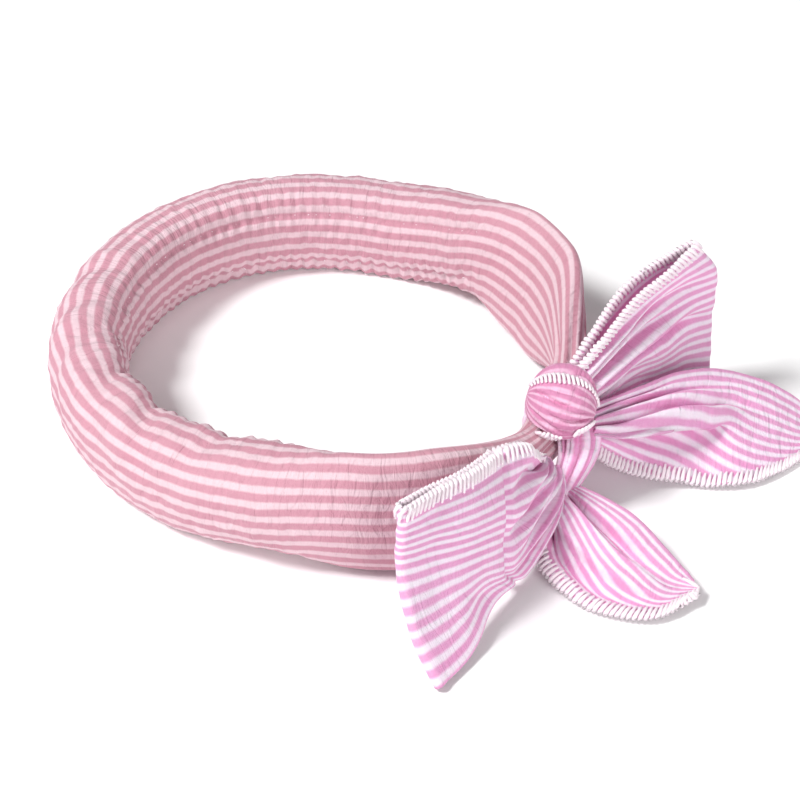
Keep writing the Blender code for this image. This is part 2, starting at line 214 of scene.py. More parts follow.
def striped_cotton(name, pitch, pink, deep, white, pink_share, slub):
    """Yarn-dyed striped cotton lawn, plain weave: soft-edged lengthwise stripes, matt and
    slightly fuzzy, with thread slubs and a fine grain."""
    mat, tree, shader = new_material(name, 0.86, 0.22, "FFEAF4")
    uv = node(tree, "ShaderNodeUVMap", {"uv_map": "cloth"})
    part = node(tree, "ShaderNodeSeparateXYZ", links={0: uv.outputs[0]})
    # Threads lie a little unevenly, so a stripe's edge wavers by about 0.2 mm.
    waver = node(tree, "ShaderNodeTexNoise", {"noise_dimensions": "2D"},
                 {"Scale": 0.11, "Detail": 3.0}, {"Vector": uv.outputs[0]})
    shift = node(tree, "ShaderNodeMath", {"operation": "MULTIPLY"}, {1: 0.7},
                 {0: waver.outputs[0]})
    across = node(tree, "ShaderNodeMath", {"operation": "ADD"},
                  links={0: part.outputs[1], 1: shift.outputs[0]})
    fold = node(tree, "ShaderNodeMath", {"operation": "PINGPONG"}, {1: pitch / 2},
                {0: across.outputs[0]})
    edge = pitch / 2 * pink_share
    stripe = node(tree, "ShaderNodeMapRange", {"interpolation_type": "SMOOTHSTEP"},
                  {1: edge - 0.5, 2: edge + 0.5, 3: 1.0, 4: 0.0},
                  {0: fold.outputs[0]})
    # Slubs: thick places in the yarn, drawn 0.9 mm long so that they show.
    grain_map = node(tree, "ShaderNodeMapping", inputs={"Scale": (0.9, 2.6, 1.0)},
                     links={0: uv.outputs[0]})
    grain = node(tree, "ShaderNodeTexNoise", {"noise_dimensions": "2D"},
                 {"Scale": 1.0, "Detail": 4.0, "Roughness": 0.6}, {"Vector": grain_map.outputs[0]})
    blotch = node(tree, "ShaderNodeTexNoise", {"noise_dimensions": "2D"},
                  {"Scale": 0.05, "Detail": 2.0}, {"Vector": uv.outputs[0]})
    pink_mix = node(tree, "ShaderNodeMix", {"data_type": "RGBA"},
                    {6: linear(pink), 7: linear(deep)}, {0: blotch.outputs[0]})
    centred = node(tree, "ShaderNodeMath", {"operation": "SUBTRACT"}, {1: 0.5},
                   {0: grain.outputs[0]})
    soft = node(tree, "ShaderNodeMath", {"operation": "MULTIPLY"}, {1: slub},
                {0: centred.outputs[0]})
    amount = node(tree, "ShaderNodeMath", {"operation": "ADD", "use_clamp": True},
                  links={0: stripe.outputs[0], 1: soft.outputs[0]})
    colour = node(tree, "ShaderNodeMix", {"data_type": "RGBA"}, {6: linear(white)},
                  {0: amount.outputs[0], 7: pink_mix.outputs[2]})
    tree.links.new(colour.outputs[2], shader.inputs["Base Color"])
    # Threads really lie 0.3 mm apart; they are drawn 0.6 mm apart so that they show.
    warp = node(tree, "ShaderNodeTexWave", {"bands_direction": "X"},
                {"Scale": 0.53, "Distortion": 1.2, "Detail": 1.0}, {"Vector": uv.outputs[0]})
    weft = node(tree, "ShaderNodeTexWave", {"bands_direction": "Y"},
                {"Scale": 0.53, "Distortion": 1.2, "Detail": 1.0}, {"Vector": uv.outputs[0]})
    crossing = node(tree, "ShaderNodeMath", {"operation": "MULTIPLY"},
                    links={0: warp.outputs[1], 1: weft.outputs[1]})
    faint = node(tree, "ShaderNodeMath", {"operation": "MULTIPLY"}, {1: 0.35},
                 {0: crossing.outputs[0]})
    weave = node(tree, "ShaderNodeMath", {"operation": "ADD"},
                 links={0: faint.outputs[0], 1: grain.outputs[0]})
    bump = node(tree, "ShaderNodeBump", {}, {"Strength": 0.35, "Distance": 0.00022},
                {"Height": weave.outputs[0]})
    # Washed cotton crinkles in short ridges across its length, 2 to 4 mm apart.
    crinkle_map = node(tree, "ShaderNodeMapping", inputs={"Scale": (0.42, 0.13, 1.0)},
                       links={0: uv.outputs[0]})
    crinkle = node(tree, "ShaderNodeTexNoise", {"noise_dimensions": "2D"},
                   {"Scale": 1.0, "Detail": 3.0, "Roughness": 0.55, "Distortion": 0.6},
                   {"Vector": crinkle_map.outputs[0]})
    creased = node(tree, "ShaderNodeBump", {}, {"Strength": 0.6, "Distance": 0.0013},
                   {"Height": crinkle.outputs[0], "Normal": bump.outputs[0]})
    tree.links.new(creased.outputs[0], shader.inputs["Normal"])
    rough = node(tree, "ShaderNodeMapRange", {}, {3: 0.8, 4: 0.95}, {0: grain.outputs[0]})
    tree.links.new(rough.outputs[0], shader.inputs["Roughness"])
    return mat


def overlock_thread():
    """Textured polyester overlock thread: bright white, soft, with a light twist."""
    mat, tree, shader = new_material("overlock_thread", 0.75, 0.3, "FFFFFF")
    place = node(tree, "ShaderNodeTexCoord")
    twist = node(tree, "ShaderNodeTexNoise", {}, {"Scale": 1500.0, "Detail": 3.0},
                 {"Vector": place.outputs["Object"]})
    colour = node(tree, "ShaderNodeMix", {"data_type": "RGBA"},
                  {6: linear("F1DCE6"), 7: linear("FFF8FC")}, {0: twist.outputs[0]})
    tree.links.new(colour.outputs[2], shader.inputs["Base Color"])
    bump = node(tree, "ShaderNodeBump", {}, {"Strength": 0.4, "Distance": 0.00025},
                {"Height": twist.outputs[0]})
    tree.links.new(bump.outputs[0], shader.inputs["Normal"])
    return mat


def open_cell_foam():
    """Cream polyurethane foam, cut: fine open cells and a matt skin."""
    mat, tree, shader = new_material("open_cell_foam", 0.95, 0.1, "FFFFFF")
    place = node(tree, "ShaderNodeTexCoord")
    cells = node(tree, "ShaderNodeTexVoronoi", {}, {"Scale": 900.0},
                 {"Vector": place.outputs["Object"]})
    colour = node(tree, "ShaderNodeMix", {"data_type": "RGBA"},
                  {6: linear("E9DFC4"), 7: linear("F8F2DF")}, {0: cells.outputs[0]})
    tree.links.new(colour.outputs[2], shader.inputs["Base Color"])
    bump = node(tree, "ShaderNodeBump", {}, {"Strength": 0.5, "Distance": 0.0004},
                {"Height": cells.outputs[0]})
    tree.links.new(bump.outputs[0], shader.inputs["Normal"])
    return mat


def woven_elastic():
    """White braided elastic: ribs a millimetre apart across its length."""
    mat, tree, shader = new_material("woven_elastic", 0.8, 0.1, "FFFFFF")
    place = node(tree, "ShaderNodeTexCoord")
    ribs = node(tree, "ShaderNodeTexWave", {"bands_direction": "Z"},
                {"Scale": 320.0, "Distortion": 0.5}, {"Vector": place.outputs["Object"]})
    colour = node(tree, "ShaderNodeMix", {"data_type": "RGBA"},
                  {6: linear("E6E2DE"), 7: linear("FAF8F5")}, {0: ribs.outputs[1]})
    tree.links.new(colour.outputs[2], shader.inputs["Base Color"])
    bump = node(tree, "ShaderNodeBump", {}, {"Strength": 0.5, "Distance": 0.0003},
                {"Height": ribs.outputs[1]})
    tree.links.new(bump.outputs[0], shader.inputs["Normal"])
    return mat


band_cotton = striped_cotton("striped_cotton_band", BAND_STRIPE, "CB97A5", "C48A9A",
                             "E0C4CC", 0.54, 0.46)
bow_cotton = striped_cotton("striped_cotton_bow", BOW_STRIPE, "EBA9D0", "E394C2",
                            "FBE4F6", 0.54, 0.36)
# The bow is a single thin layer, so light comes through it.
glow = bow_cotton.node_tree.nodes["Principled BSDF"]
glow.inputs["Subsurface Weight"].default_value = 0.35
glow.inputs["Subsurface Radius"].default_value = (1.0, 0.55, 0.75)
glow.inputs["Subsurface Scale"].default_value = 0.0022
# The knot is the bow's own cotton painted darker and deeper pink, with fainter stripes: painted shade
# for the gathered knot.
knot_painted_shade_cotton = striped_cotton("striped_cotton_bow_painted_shade", BOW_STRIPE, "D58FB3", "CB80A6",
                             "EDBFD8", 0.62, 0.40)
thread = overlock_thread()
foam = open_cell_foam()
elastic = woven_elastic()


# ------------------------------------------------------------------ the ring
turn = -math.pi / 2 - 2 * math.pi * np.linspace(0.0, 1.0, 2881)
turn_c = np.cos(turn)
turn_s = np.sin(turn)
half = np.where(turn_c < 0, LEFT_HALF, RIGHT_HALF)
reach = np.where(turn_s < 0, FRONT_HALF, BACK_HALF)
power = np.where(turn_s < 0, np.where(turn_c < 0, LEFT_ROUND, RIGHT_ROUND), BACK_ROUND)
radius = (np.abs(turn_c / half) ** power + np.abs(turn_s / reach) ** power) ** (-1 / power)
ring_line = np.stack([radius * turn_c, radius * turn_s], axis=1)
ring_run = np.concatenate([[0.0], np.cumsum(np.linalg.norm(np.diff(ring_line, axis=0), axis=1))])
RING = float(ring_run[-1])


def ring_place(s):
    """Middle, outward direction and height of the band at each distance from the knot."""
    wrapped = np.mod(s, RING)

    def at(where):
        return np.stack([np.interp(np.mod(where, RING), ring_run, ring_line[:, k])
                         for k in (0, 1)], axis=-1)

    run = unit(at(s + 4.0) - at(s - 4.0))
    normal = np.stack([-run[:, 1], run[:, 0], np.zeros(len(s))], axis=-1)
    away = np.minimum(wrapped, RING - wrapped)
    left = wrapped < RING / 2
    start = np.where(left, LEFT_PAD_FROM, RIGHT_PAD_FROM)
    height = np.where(left, LEFT_END[0], RIGHT_END[0])
    z = THROAT_Z + (height / 2 + END_LIFT - THROAT_Z) * ease(away, 14.0, 50.0)
    z = z + (REST_Z - z) * ease(away, start - 10.0, start + 40.0)
    middle = np.concatenate([at(s), z[:, None]], axis=1)
    return middle, normal


def band_size(s):
    """Height, depth, squareness and lean of the band's section."""
    wrapped = np.mod(s, RING)
    away = np.minimum(wrapped, RING - wrapped)
    left = wrapped < RING / 2
    start = np.where(left, LEFT_PAD_FROM, RIGHT_PAD_FROM)
    full = ease(away, 14.0, np.where(left, 70.0, 54.0))
    pad = ease(away, start - TAPER, start + 8.0)
    end = [np.where(left, LEFT_END[k], RIGHT_END[k]) for k in range(3)]
    height = THROAT_HEIGHT + (end[0] - THROAT_HEIGHT) * full
    depth = THROAT_DEPTH + (end[1] - THROAT_DEPTH) * full
    height = height + (PAD_HEIGHT - height) * pad
    depth = depth + (PAD_DEPTH - depth) * pad
    return height, depth, pad, np.radians(end[2] * full * (1 - pad))


def band_surface(s, inset, count):
    """Band sections with points evenly spaced round each, and their flat profiles."""
    middle, normal = ring_place(s)
    height, depth, pad, lean = band_size(s)
    angle = np.linspace(0.0, 2 * math.pi, 361)
    c = np.cos(angle)
    q = np.sin(angle)
    points = np.zeros((len(s), count, 3))
    profile = np.zeros((len(s), count, 2))
    for i in range(len(s)):
        square = 1 + (np.where(c > 0, 0.85, 0.6) - 1) * pad[i]
        n = (depth[i] / 2 - inset) * np.sign(c) * np.abs(c) ** square
        z = (height[i] / 2 - inset) * np.sign(q) * np.abs(q) ** 0.85
        run = np.concatenate([[0], np.cumsum(np.hypot(np.diff(n), np.diff(z)))])
        want = np.linspace(0, run[-1], count + 1)[:-1]
        n = np.interp(want, run, n)
        z = np.interp(want, run, z)
        profile[i] = np.stack([n, z], axis=1)
        cos_l = math.cos(lean[i])
        sin_l = math.sin(lean[i])
        points[i] = middle[i] + normal[i] * (n * cos_l + z * sin_l)[:, None]
        points[i, :, 2] += z * cos_l - n * sin_l
    out = unit(points - middle[:, None, :])
    return points, profile, out


def tube_faces(rows, count, closed):
    last = rows if closed else rows - 1
    return [(i * count + j, i * count + (j + 1) % count,
             (i + 1) % rows * count + (j + 1) % count, (i + 1) % rows * count + j)
            for i in range(last) for j in range(count)]


# ------------------------------------------------------------------ padded cover
CELL = 1.7
AROUND = int(CLOTH_ROUND / CELL) // 4 * 4
SIM_FROM = LEFT_PAD_FROM - 40.0
SIM_TO = RING - RIGHT_PAD_FROM + 40.0
SIM_ROWS = int((SIM_TO - SIM_FROM) * 1.2 / CELL)
SIM_SCALE = 10.0


def shirred_cloth():
    """Cover cloth over the foam, longer than the foam and caught along two stitched rows;
    a little air pressure swells it between them."""
    s = np.linspace(SIM_FROM, SIM_TO, SIM_ROWS)
    flat, profile, out = band_surface(s, 0.0, AROUND)
    pad = band_size(s)[2]
    rough = rng.normal(0.0, 0.35, flat.shape[:2])[..., None] + 0.5
    start = flat + out * rough * pad[:, None, None]
    stitched = []
    last = {1: -99.0, -1: -99.0}
    for i in range(4, SIM_ROWS - 4):
        if pad[i] < 0.6:
            continue
        for side in (1, -1):
            if s[i] - last[side] < PUCKER - 0.6 + 1.4 * rng.random():
                continue
            last[side] = s[i]
            off_inner = np.where(profile[i, :, 0] < 0, 0.0, 1e3)
            j = int(np.argmin(np.abs(profile[i, :, 1] - side * SHIRR_Z) + off_inner))
            start[i, j] = flat[i, j] - out[i, j] * 1.25
            stitched.append((i, j))
    step = np.diff(s) * (1 + (GATHER - 1) * 0.5 * (pad[1:] + pad[:-1]))
    run = np.concatenate([[0.0], np.cumsum(step)])
    cloth = make_mesh("shirring_run", start, tube_faces(SIM_ROWS, AROUND, False),
                      MM * SIM_SCALE, 0.0)
    cloth.shape_key_add(name="Basis")
    key = cloth.shape_key_add(name="cut")
    turn_round = np.linspace(0, 2 * math.pi, AROUND + 1)[:-1]
    tube_radius = CLOTH_ROUND / (2 * math.pi)
    cut = np.zeros_like(start)
    cut[..., 0] = run[:, None]
    cut[..., 1] = tube_radius * np.cos(turn_round)
    cut[..., 2] = tube_radius * np.sin(turn_round)
    key.data.foreach_set("co", (cut * MM * SIM_SCALE).reshape(-1))
    pins = cloth.vertex_groups.new(name="caught")
    ends = [i * AROUND + j for i in (0, 1, 2, 3, SIM_ROWS - 4, SIM_ROWS - 3, SIM_ROWS - 2,
                                     SIM_ROWS - 1) for j in range(AROUND)]
    pins.add(ends + [i * AROUND + j for i, j in stitched], 1.0, "REPLACE")
    core_s = np.linspace(SIM_FROM - 6, SIM_TO + 6, 160)
    core = make_mesh("foam_form", band_surface(core_s, 1.6, 48)[0], tube_faces(160, 48, False),
                     MM * SIM_SCALE, 0.0)
    core.modifiers.new("stop", "COLLISION")
    core.collision.thickness_outer = 0.004
    core.collision.cloth_friction = 5
    mod = cloth.modifiers.new("cloth", "CLOTH")
    values = mod.settings
    values.quality = 8
    values.mass = 0.02
    values.tension_stiffness = 20
    values.compression_stiffness = 20
    values.shear_stiffness = 4
    values.bending_stiffness = 0.02
    values.bending_model = "ANGULAR"
    values.tension_damping = 5
    values.compression_damping = 5
    values.shear_damping = 5
    values.bending_damping = 0.5
    values.air_damping = 2
    values.vertex_group_mass = "caught"
    values.rest_shape_key = key
    values.effector_weights.gravity = 0
    values.use_pressure = True
    values.uniform_pressure_force = 0.5
    mod.collision_settings.distance_min = 0.003
    mod.collision_settings.collision_quality = 2
    mod.collision_settings.use_self_collision = False
    mod.point_cache.frame_start = 1
    mod.point_cache.frame_end = 30
    for f in range(1, 21):
        bpy.context.scene.frame_set(f)
    baked = cloth.evaluated_get(bpy.context.evaluated_depsgraph_get())
    co = np.zeros(SIM_ROWS * AROUND * 3)
    baked.data.vertices.foreach_get("co", co)
    bpy.context.scene.frame_set(1)
    for done in (cloth, core):
        bpy.data.objects.remove(done, do_unlink=True)
    return s, co.reshape(start.shape) / (MM * SIM_SCALE), run, stitched, out


def throat_gathers(s, across):
    """Grooves that run out of the knot along the cloth, each with its own reach."""
    away = np.minimum(np.mod(s, RING), RING - np.mod(s, RING))
    side = np.where(np.mod(s, RING) < RING / 2, 0, 1)
    depth = np.zeros((len(s), len(across)))
    for which in (0, 1):
        for k in range(13):
            place = (k + 0.5 + rng.uniform(-0.28, 0.28)) * CLOTH_ROUND / 13
            far = rng.uniform(34.0, 72.0)
            sway = rng.uniform(-2.2, 2.2)
            deep = rng.uniform(1.3, 2.4)
            middle = place + sway * np.sin(away / 26.0 + k)
            off = np.abs(across[None, :] - middle[:, None])
            off = np.minimum(off, CLOTH_ROUND - off)
            groove = np.exp(-(off / (2.3 - 0.9 * ease(away, 10, 50)[:, None])) ** 2)
            live = deep * (1 - ease(away, 12.0, far)) * (side == which)
            depth += live[:, None] * groove
    return depth


def cover():
    s_pad, pad_points, pad_run, stitched, _ = shirred_cloth()
    gap_rows = 76
    s_knot = np.linspace(SIM_TO, SIM_FROM + RING, gap_rows + 2)[1:-1]
    s = np.concatenate([s_pad, s_knot])
    points, profile, out = band_surface(s, 0.0, AROUND)
    points[:len(s_pad)] = pad_points
    run = np.concatenate([pad_run, pad_run[-1] + s_knot - SIM_TO])
    across = np.arange(AROUND) * CLOTH_ROUND / AROUND
    height, depth, pad, lean = band_size(s)
    push = -throat_gathers(s, across)
    from_knot = np.minimum(np.mod(s, RING), RING - np.mod(s, RING))
    push += 1.1 * (1 - ease(from_knot, 14.0, 26.0))[:, None]
    # Puckers: little scallops beside each stitched row, fading over about 7 mm of cloth.
    for side in (1, -1):
        off = np.hypot(profile[..., 1] - side * SHIRR_Z,
                       np.where(profile[..., 0] < 0, 0.0, profile[..., 0] + 4.0))
        phase = 2 * math.pi * s / PUCKER + 1.3 * np.sin(s / 9.0) + side
        scallop = np.cos(phase)[:, None] * np.exp(-(off / 7.5) ** 2)
        beside = np.cos(phase + math.pi)[:, None] * np.exp(-((off - 8.5) / 3.0) ** 2)
        push += pad[:, None] * (0.95 * scallop * ease(off, 0.0, 2.5) + 0.45 * beside)
        push -= 1.0 * pad[:, None] * np.exp(-(off / 1.5) ** 2)
    # The foam kinks where it bends hardest: shallow slanting dents across the top.
    angle = np.arctan2(profile[..., 1], profile[..., 0])
    for where, slant, deep, wide in FOAM_KINKS:
        line = s[:, None] - where - slant * (angle - math.pi / 2)
        top = np.exp(-((angle - math.pi / 2) / 1.25) ** 2)
        push -= deep * np.exp(-(line / wide) ** 2) * top
        push += 0.5 * deep * np.exp(-((line - 2.2 * wide) / (1.3 * wide)) ** 2) * top
    points = points + out * push[..., None]
    points[..., 2] = np.maximum(points[..., 2], 0.15)
    faces = tube_faces(len(s), AROUND, True)
    obj = make_mesh("cover", points.reshape(-1, 3), faces)
    closing = run[-1] + (SIM_FROM + RING - s_knot[-1])
    uv = []
    ends = np.append(run, closing)
    for i in range(len(s)):
        for j in range(AROUND):
            a, b = ends[i], ends[i + 1]
            v, w = j * CLOTH_ROUND / AROUND, (j + 1) * CLOTH_ROUND / AROUND
            uv += [(a, v), (a, w), (b, w), (b, v)]
    give_uv(obj, uv)
    apply_modifier(obj, "SUBSURF", levels=1, render_levels=1)
    obj.data.materials.append(band_cotton)
    return obj, points, out, stitched


# Distance from the knot, slant, depth and width of each foam kink.
FOAM_KINKS = [(163.0, 9.0, 2.4, 4.4), (186.0, 12.0, 2.0, 4.0), (214.0, 10.0, 2.4, 4.2),
              (250.0, 7.0, 1.4, 3.6), (138.0, -6.0, 1.4, 4.0), (231.0, 9.0, 1.1, 3.2)]


def across_the_stretch(obj):
    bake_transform(obj)
    return obj


def shirring_stitches(points, out, stitched):
    """One straight lock stitch at each pucker, lying in its groove."""
    for name, upper in (("shirring_thread_upper", True), ("shirring_thread_lower", False)):
        paths = []
        for i, j in stitched:
            is_upper = points[i, j, 2] > REST_Z + 2.0
            if is_upper != upper or i + 2 >= len(points):
                continue
            ends = [points[i - 1, j] - out[i - 1, j] * 0.2, points[i, j] + out[i, j] * 0.15,
                    points[i + 1, j] - out[i + 1, j] * 0.2]
            paths.append(ends)
        verts, faces = tubes(paths, [[0.16, 0.18, 0.16]] * len(paths), 6)
        obj = make_mesh(name + "_stitches", verts, faces)
        outward(obj)
        obj.data.materials.append(thread)
        across_the_stretch(obj)
        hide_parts(name)


cover_obj, cover_points, cover_out, stitched_at = cover()
across_the_stretch(cover_obj)
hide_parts("cover_padded", "cover_end_left", "cover_end_right")
shirring_stitches(cover_points, cover_out, stitched_at)


def soft_copy(node_name, made_name, material):
    """Copy of a hidden inner piece, with its own material and its transform baked in."""
    source = bpy.data.objects[node_name] if node_name in bpy.data.objects else None
    if source is None:
        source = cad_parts[node_name]
    mesh = source.data.copy()
    obj = bpy.data.objects.new(made_name, mesh)
    bpy.context.scene.collection.objects.link(obj)
    bpy.context.view_layer.objects.active = obj
    obj.select_set(True)
    bpy.ops.object.mode_set(mode="EDIT")
    bpy.ops.mesh.select_all(action="SELECT")
    bpy.ops.mesh.remove_doubles(threshold=1e-6)
    bpy.ops.mesh.normals_make_consistent(inside=False)
    bpy.ops.object.mode_set(mode="OBJECT")
    obj.select_set(False)
    obj.data.materials.clear()
    obj.data.materials.append(material)
    across_the_stretch(obj)
    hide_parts(node_name)
    return obj


foam_obj = soft_copy("foam_core", "foam_filling", foam)
soft_copy("elastic_strip", "elastic_tape", elastic)


# ------------------------------------------------------------------ knot
# The camera's directions: to its right, up, and towards it. The bow's guide points are counted
# in millimetres from the middle of the knot along these, so they describe it from that side.
VIEW_TURN = math.radians(-65.0)
VIEW_TILT = math.radians(40.0)
VIEW_RIGHT = np.array([math.cos(VIEW_TURN), math.sin(VIEW_TURN), 0.0])
VIEW_FRONT = np.array([math.sin(VIEW_TURN) * math.cos(VIEW_TILT),
                      -math.cos(VIEW_TURN) * math.cos(VIEW_TILT), math.sin(VIEW_TILT)])
VIEW_UP = np.cross(VIEW_FRONT, VIEW_RIGHT)


def away_from_strap(p, gap):
    a = THROAT_DEPTH / 2 + STRAP_LOOSE + STRAP_WALL + gap
    b = THROAT_HEIGHT / 2 + STRAP_LOOSE + STRAP_WALL + gap
    y = p[1] - STRAP_Y
    z = p[2] - THROAT_Z
    r = math.sqrt((y / a) ** 2 + (z / b) ** 2)
    if r >= 1.0 or r < 0.05:
        return p
    return np.array([p[0], STRAP_Y + y / r, THROAT_Z + z / r])


# Middle of the cloth that comes out below the knot, along the view, with its half width and
# half thickness at each place.
FALL = [((2.0, -1.0, -6.0), 6.0, 3.0), ((2.8, -7.0, -3.6), 6.9, 3.2), ((3.2, -12.0, -2.0), 7.0, 3.4),
        ((2.2, -17.0, -2.4), 6.0, 3.2), ((0.2, -22.0, -4.2), 4.9, 2.8), ((-2.0, -27.0, -6.0), 4.0, 2.2),
        ((-3.4, -31.0, -6.5), 3.0, 1.4)]


def strap_fall(first):
    """The strip's drawn-in cloth from beneath the knot down to the lower tail."""
    rows, count = 44, 72
    at = np.linspace(0, len(FALL) - 1, rows)
    guide = np.array([list(p) + [w, t] for p, w, t in FALL])
    line = np.stack([np.interp(at, np.arange(len(FALL)), guide[:, k]) for k in range(5)], axis=1)
    for _ in range(8):
        line[1:-1] = line[1:-1] * 0.5 + (line[:-2] + line[2:]) * 0.25
    run = unit(np.gradient(line[:, :3], axis=0))
    side = unit(np.cross(run, [0.0, 0.0, 1.0]))
    lift = np.cross(side, run)
    angle = np.linspace(0, 2 * math.pi, count + 1)[:-1]
    verts = []
    uv_across = []
    for i in range(rows):
        f = i / (rows - 1)
        crease = 1.0 - 0.30 * np.maximum(0.0, np.cos(7 * angle + 1.4 * math.sin(3 * f))) ** 5 \
            - 0.20 * np.maximum(0.0, np.cos(11 * angle + 2.0 - 2 * f)) ** 5
        a = line[i, 3] * np.cos(angle) * crease
        b = line[i, 4] * np.sin(angle) * crease
        p = line[i, :3] + a[:, None] * side[i] + b[:, None] * lift[i]
        verts.append(KNOT + p[:, :1] * VIEW_RIGHT + p[:, 1:2] * VIEW_UP + p[:, 2:] * VIEW_FRONT)
        uv_across.append(angle / (2 * math.pi) * BOW_STRIPE * 8)
    verts = np.vstack(verts + [[KNOT + line[k, 0] * VIEW_RIGHT + line[k, 1] * VIEW_UP
                                + line[k, 2] * VIEW_FRONT] for k in (0, -1)])
    faces = []
    uv = []
    for i in range(rows - 1):
        for j in range(count):
            a, b = first + i * count + j, first + i * count + (j + 1) % count
            faces.append((a, b, b + count, a + count))
            v, w = uv_across[i][j], uv_across[i][j] + BOW_STRIPE * 8 / count
            uv += [(i * 0.8, v), (i * 0.8, w), (i * 0.8 + 0.8, w), (i * 0.8 + 0.8, v)]
    near, far = first + rows * count, first + rows * count + 1
    for j in range(count):
        k = (j + 1) % count
        faces.append((near, first + k, first + j))
        faces.append((far, first + (rows - 1) * count + j, first + (rows - 1) * count + k))
        uv += [(0.0, j * 0.4)] * 3 + [(rows * 0.8, j * 0.4)] * 3
    return verts, faces, uv


def knot_strap():
    """The strip's gathered turn round the band: deep lengthwise creases."""
    rows = 46
    count = 90
    x = np.linspace(STRAP_LEFT + 5.0, STRAP_RIGHT, rows)
    angle = np.linspace(0, 2 * math.pi, count + 1)[:-1]
    creases = [(-15.2, 1.1), (-12.4, 1.4), (-9.9, 1.0), (-7.1, 1.5), (-4.0, 1.1), (-1.2, 1.3),
               (0.9, 0.9)]
    wall = np.zeros((rows, count))
    for k, (at, deep) in enumerate(creases):
        middle = at + 0.9 * np.sin(angle * 2 + k * 1.7)
        wall -= deep * np.exp(-((x[:, None] - middle[None, :]) / 0.75) ** 2)
    bulge = 1.1 * np.sin(math.pi * np.linspace(0, 1, rows))[:, None]
    outer = STRAP_LOOSE + STRAP_WALL + bulge + wall - 0.4
    verts = []
    for grow in (outer, np.full((rows, count), STRAP_LOOSE - 0.6)):
        y = (THROAT_DEPTH / 2 + grow) * np.cos(angle)
        z = (THROAT_HEIGHT / 2 + grow) * np.sin(angle)
        xx = np.repeat(x[:, None], count, axis=1)
        verts.append(np.stack([xx, STRAP_Y + y, THROAT_Z + z], axis=2).reshape(-1, 3))
    base = rows * count
    faces = []
    uv = []
    for i in range(rows - 1):
        for j in range(count):
            a = i * count + j
            b = i * count + (j + 1) % count
            faces.append((a, b, b + count, a + count))
            faces.append((base + a, base + a + count, base + b + count, base + b))
            u0, u1 = j * 0.8, (j + 1) * 0.8
            v0, v1 = x[i] * 2.4, x[i + 1] * 2.4
            uv += [(u0, v0), (u1, v0), (u1, v1), (u0, v1)]
            uv += [(u0, v0), (u0, v1), (u1, v1), (u1, v0)]
    for i in (0, rows - 1):
        for j in range(count):
            a = i * count + j
            b = i * count + (j + 1) % count
            faces.append((a, base + a, base + b, b) if i == 0 else (a, b, base + b, base + a))
            uv += [(j * 0.8, x[i] * 2.4)] * 4
    fall_verts, fall_faces, fall_uv = strap_fall(2 * base)
    obj = make_mesh("strap_turn", np.vstack(verts + [fall_verts]), faces + fall_faces)
    give_uv(obj, uv + fall_uv)
    outward(obj)
    obj.data.materials.append(bow_cotton)
    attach(obj, "tied_front")
    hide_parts("knot_strap")
    return obj


# The wrap over the knot runs between two drawn-in points; its front faces the wearer's left.
WRAP_RUN = unit(np.array([0.226, -0.94, -0.23]))
WRAP_FRONT = np.array([-0.694, -0.324, 0.643])
WRAP_FRONT = unit(WRAP_FRONT - WRAP_RUN * np.dot(WRAP_FRONT, WRAP_RUN))
WRAP_UP = np.cross(WRAP_FRONT, WRAP_RUN)
if WRAP_UP[2] < 0:
    WRAP_UP = -WRAP_UP
WRAP_SIZE = (11.0, 10.2, 10.8)
WRAP_EDGE = 0.95


def wrap_radius(phi, theta):
    """Full at the front, a step down behind the stitched edge, then the turn beneath it."""
    over = phi - WRAP_EDGE
    step = 1.0 - 0.13 * ease(over, 0.0, 0.10) + 0.36 * ease(over, 0.12, 0.75)
    return step - 0.10 * ease(phi, 2.1, 3.6)


def wrap_point(phi, theta, lift=0.0):
    size = wrap_radius(phi, theta)
    for at, deep, a, b in WRAP_CREASES:
        live = math.exp(-((theta - (a + b) / 2) / ((b - a) * 0.5)) ** 4)
        size -= deep * live * math.exp(-((phi - at - 0.12 * math.sin(theta * 3 + at)) / 0.05) ** 2)
    s = math.sin(theta) ** 0.85
    p = WRAP + WRAP_RUN * (-math.cos(theta)) * (WRAP_SIZE[0] + lift)
    p = p + WRAP_FRONT * s * math.cos(phi) * (WRAP_SIZE[1] * size + lift)
    return p + WRAP_UP * s * math.sin(phi) * (WRAP_SIZE[2] * size + lift)


# Place round the wrap, depth as a share of its radius, and where it starts and ends.
WRAP_CREASES = [(0.10, 0.24, 0.4, 1.7), (-0.40, 0.26, 1.4, 2.7), (0.46, 0.10, 0.8, 2.3),
                (-0.78, 0.15, 0.5, 2.3), (1.35, 0.13, 0.4, 2.6), (1.75, 0.14, 0.5, 2.5),
                (-1.15, 0.15, 0.6, 2.6), (2.2, 0.12, 0.5, 2.6), (-0.12, 0.08, 1.5, 2.6)]


